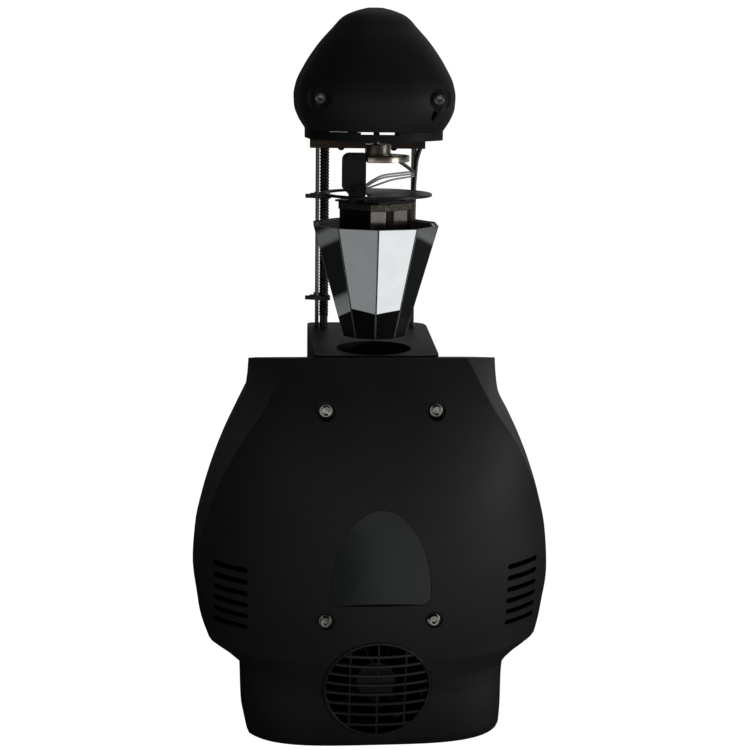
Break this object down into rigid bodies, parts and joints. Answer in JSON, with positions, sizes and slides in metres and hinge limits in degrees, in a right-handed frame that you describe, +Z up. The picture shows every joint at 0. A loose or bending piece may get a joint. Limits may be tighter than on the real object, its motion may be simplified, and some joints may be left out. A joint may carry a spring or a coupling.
{
  "type": "barrel mirror scanner light",
  "caption": "Stage light with a moulded floor housing and a spinning ten-sided mirror barrel on a pan and tilt head between side bars under a hooded cap.",
  "frame": {"origin": "floor level under the middle of the housing's box", "axes": "+Z up, -Y towards the front with the fan grille, +X to the right seen from the front"},
  "size_m": [0.37, 0.3, 0.7298],
  "materials": {
    "black_plastic": "fine texture, satin",
    "black_metal": "black powder coat, satin",
    "rubber": "matte",
    "badge_insert": "glossy, dark bluish",
    "stainless": "brushed, bright",
    "dark_steel": "dark, half gloss",
    "zinc_sheet": "zinc plated",
    "mirror_glass": "front silvered, polished",
    "clear_glass": "polished",
    "ceramic": "off-white, lamp envelope and base",
    "wire_jacket": "grey leads",
    "aluminium_bowl": "bright reflector"
  },
  "bodies": {
    "base": {"base_pan": "black_metal", "foot_front_left": "rubber", "foot_front_right": "rubber", "foot_rear_left": "rubber", "foot_rear_right": "rubber", "chassis_frame": "zinc_sheet", "front_shell": "black_plastic", "rear_shell": "black_plastic", "badge_plate": "badge_insert", "intake_grille": "black_plastic", "shell_screw_upper_left": "black_metal", "shell_screw_upper_right": "black_metal", "shell_screw_lower_left": "black_metal", "shell_screw_lower_right": "black_metal", "fan_frame": "black_plastic", "neck_deck": "black_plastic", "output_lens": "clear_glass", "side_bar_left": "stainless", "side_bar_right": "stainless", "crossbar": "dark_steel", "conduit_hose": "black_plastic", "cable_tie_upper": "black_plastic", "cable_tie_lower": "black_plastic", "motor_lead": "wire_jacket", "cap_tray": "black_metal", "cap_hood": "black_plastic", "cap_screw_left": "black_metal", "cap_screw_right": "black_metal", "pan_motor": "dark_steel", "lamp_reflector": "aluminium_bowl", "lamp": "ceramic", "effects_plate": "zinc_sheet", "ballast_box": "dark_steel", "control_panel": "black_metal", "power_inlet": "black_plastic", "signal_sockets": "zinc_sheet"},
    "pan_carriage": {"pan_hub": "stainless", "pan_arm": "black_metal"},
    "tilt_head": {"tilt_pin": "stainless", "tilt_bracket": "black_metal", "barrel_motor": "dark_steel", "guard_ring": "black_metal"},
    "barrel": {"mirror_carrier": "black_metal", "mirror_01": "mirror_glass", "mirror_02": "mirror_glass", "mirror_03": "mirror_glass", "mirror_04": "mirror_glass", "mirror_05": "mirror_glass", "mirror_06": "mirror_glass", "mirror_07": "mirror_glass", "mirror_08": "mirror_glass", "mirror_09": "mirror_glass", "mirror_10": "mirror_glass"},
    "fan": {"fan_rotor": "black_plastic"},
    "colour_disc": {"colour_wheel": "zinc_sheet"},
    "gobo_disc": {"gobo_wheel": "zinc_sheet"},
    "key_1": {"button_1": "rubber"},
    "key_2": {"button_2": "rubber"},
    "key_3": {"button_3": "rubber"},
    "key_4": {"button_4": "rubber"}
  },
  "joints": [
    {"name": "pan", "type": "hinge", "parent": "base", "child": "pan_carriage", "pos_m": [0, -0.02, 0.6], "axis": [0, 0, 1], "range_deg": [-88, 88], "deforming": ["motor_lead"]},
    {"name": "tilt", "type": "hinge", "parent": "pan_carriage", "child": "tilt_head", "pos_m": [-0.019, -0.02, 0.553], "axis": [0, 1, 0], "range_deg": [-25, 25], "deforming": ["motor_lead"]},
    {"name": "barrel_spin", "type": "hinge", "parent": "tilt_head", "child": "barrel", "pos_m": [0, -0.02, 0.46], "axis": [0, 0, 1], "continuous": true},
    {"name": "fan_spin", "type": "hinge", "parent": "base", "child": "fan", "pos_m": [0, -0.095, 0.0705], "axis": [0, 1, 0], "continuous": true},
    {"name": "colour_spin", "type": "hinge", "parent": "base", "child": "colour_disc", "pos_m": [0, 0.022, 0.274], "axis": [0, 0, 1], "continuous": true},
    {"name": "gobo_spin", "type": "hinge", "parent": "base", "child": "gobo_disc", "pos_m": [0, 0.022, 0.228], "axis": [0, 0, 1], "continuous": true},
    {"name": "press_1", "type": "slide", "parent": "base", "child": "key_1", "axis": [0, -1, 0], "range_m": [0, 0.0012], "stiffness_N_per_m": 500},
    {"name": "press_2", "type": "slide", "parent": "base", "child": "key_2", "axis": [0, -1, 0], "range_m": [0, 0.0012], "stiffness_N_per_m": 500},
    {"name": "press_3", "type": "slide", "parent": "base", "child": "key_3", "axis": [0, -1, 0], "range_m": [0, 0.0012], "stiffness_N_per_m": 500},
    {"name": "press_4", "type": "slide", "parent": "base", "child": "key_4", "axis": [0, -1, 0], "range_m": [0, 0.0012], "stiffness_N_per_m": 500}
  ]
}
